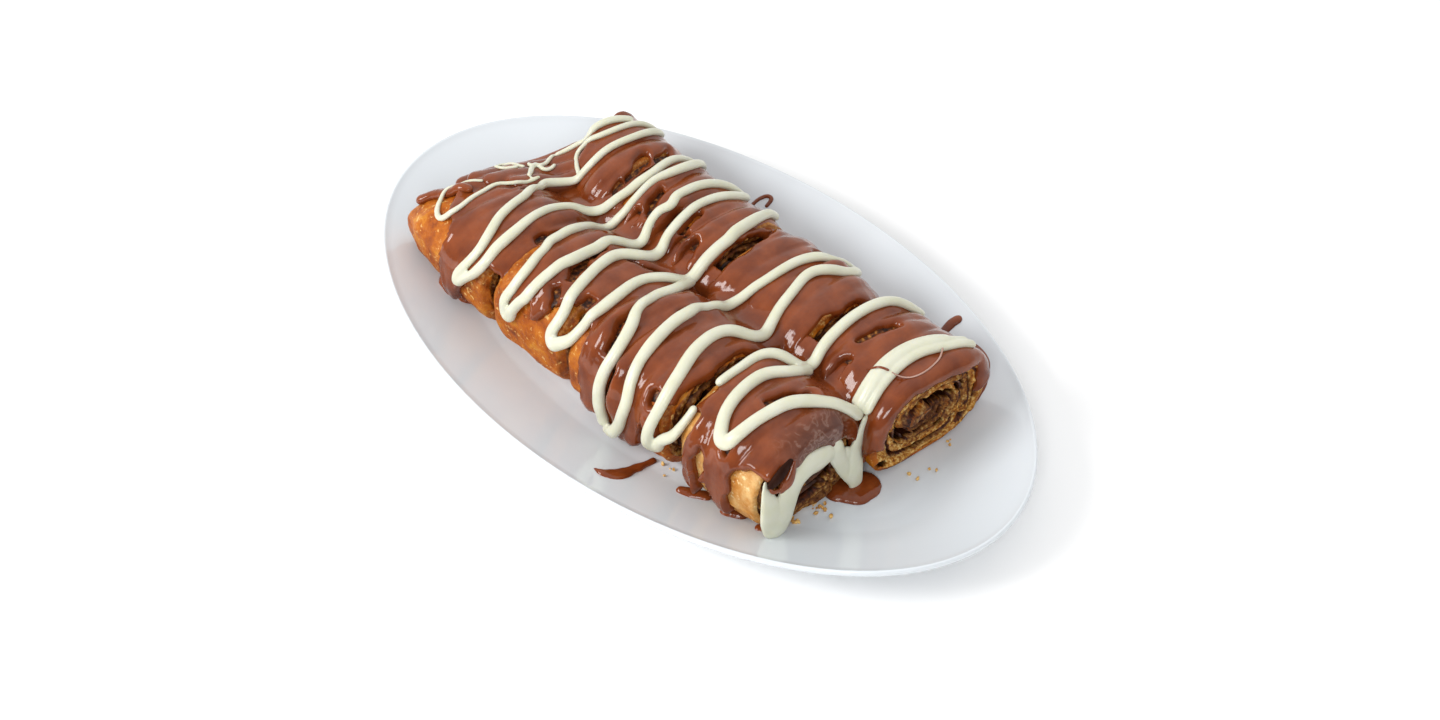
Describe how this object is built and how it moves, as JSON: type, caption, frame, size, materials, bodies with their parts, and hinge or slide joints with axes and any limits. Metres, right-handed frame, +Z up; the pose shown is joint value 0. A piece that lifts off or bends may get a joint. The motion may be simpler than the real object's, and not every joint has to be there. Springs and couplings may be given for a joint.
{
  "type": "rolled crepe dessert",
  "caption": "Sliced rolled crepes in two rows on an oval plate, coated in milk chocolate sauce with a white chocolate zigzag.",
  "frame": {"origin": "middle of the plate at the underside of its foot", "axes": "+Z up, +X along the plate's long axis towards the end where the cut faces show, +Y across it to the row behind"},
  "size_m": [0.3, 0.178, 0.0539],
  "materials": {
    "porcelain": "glossy white glaze",
    "crepe": "browned crepe, dry and slightly rough",
    "filling": "soft chocolate spread, satin",
    "milk_chocolate": "glossy sauce",
    "white_chocolate": "glossy sauce"
  },
  "bodies": {
    "root": {"plate": "porcelain", "crepe_A1": "crepe", "filling_A1": "filling", "sauce_A1": "milk_chocolate", "crepe_A2": "crepe", "filling_A2": "filling", "sauce_A2": "milk_chocolate", "crepe_A3": "crepe", "filling_A3": "filling", "sauce_A3": "milk_chocolate", "crepe_A4": "crepe", "filling_A4": "filling", "sauce_A4": "milk_chocolate", "crepe_B1": "crepe", "filling_B1": "filling", "sauce_B1": "milk_chocolate", "crepe_B2": "crepe", "filling_B2": "filling", "sauce_B2": "milk_chocolate", "crepe_B3": "crepe", "filling_B3": "filling", "sauce_B3": "milk_chocolate", "crepe_B4": "crepe", "filling_B4": "filling", "sauce_B4": "milk_chocolate", "sauce_bridge": "milk_chocolate", "white_zigzag": "white_chocolate", "white_band": "white_chocolate", "white_drape": "white_chocolate"}
  },
  "joints": []
}
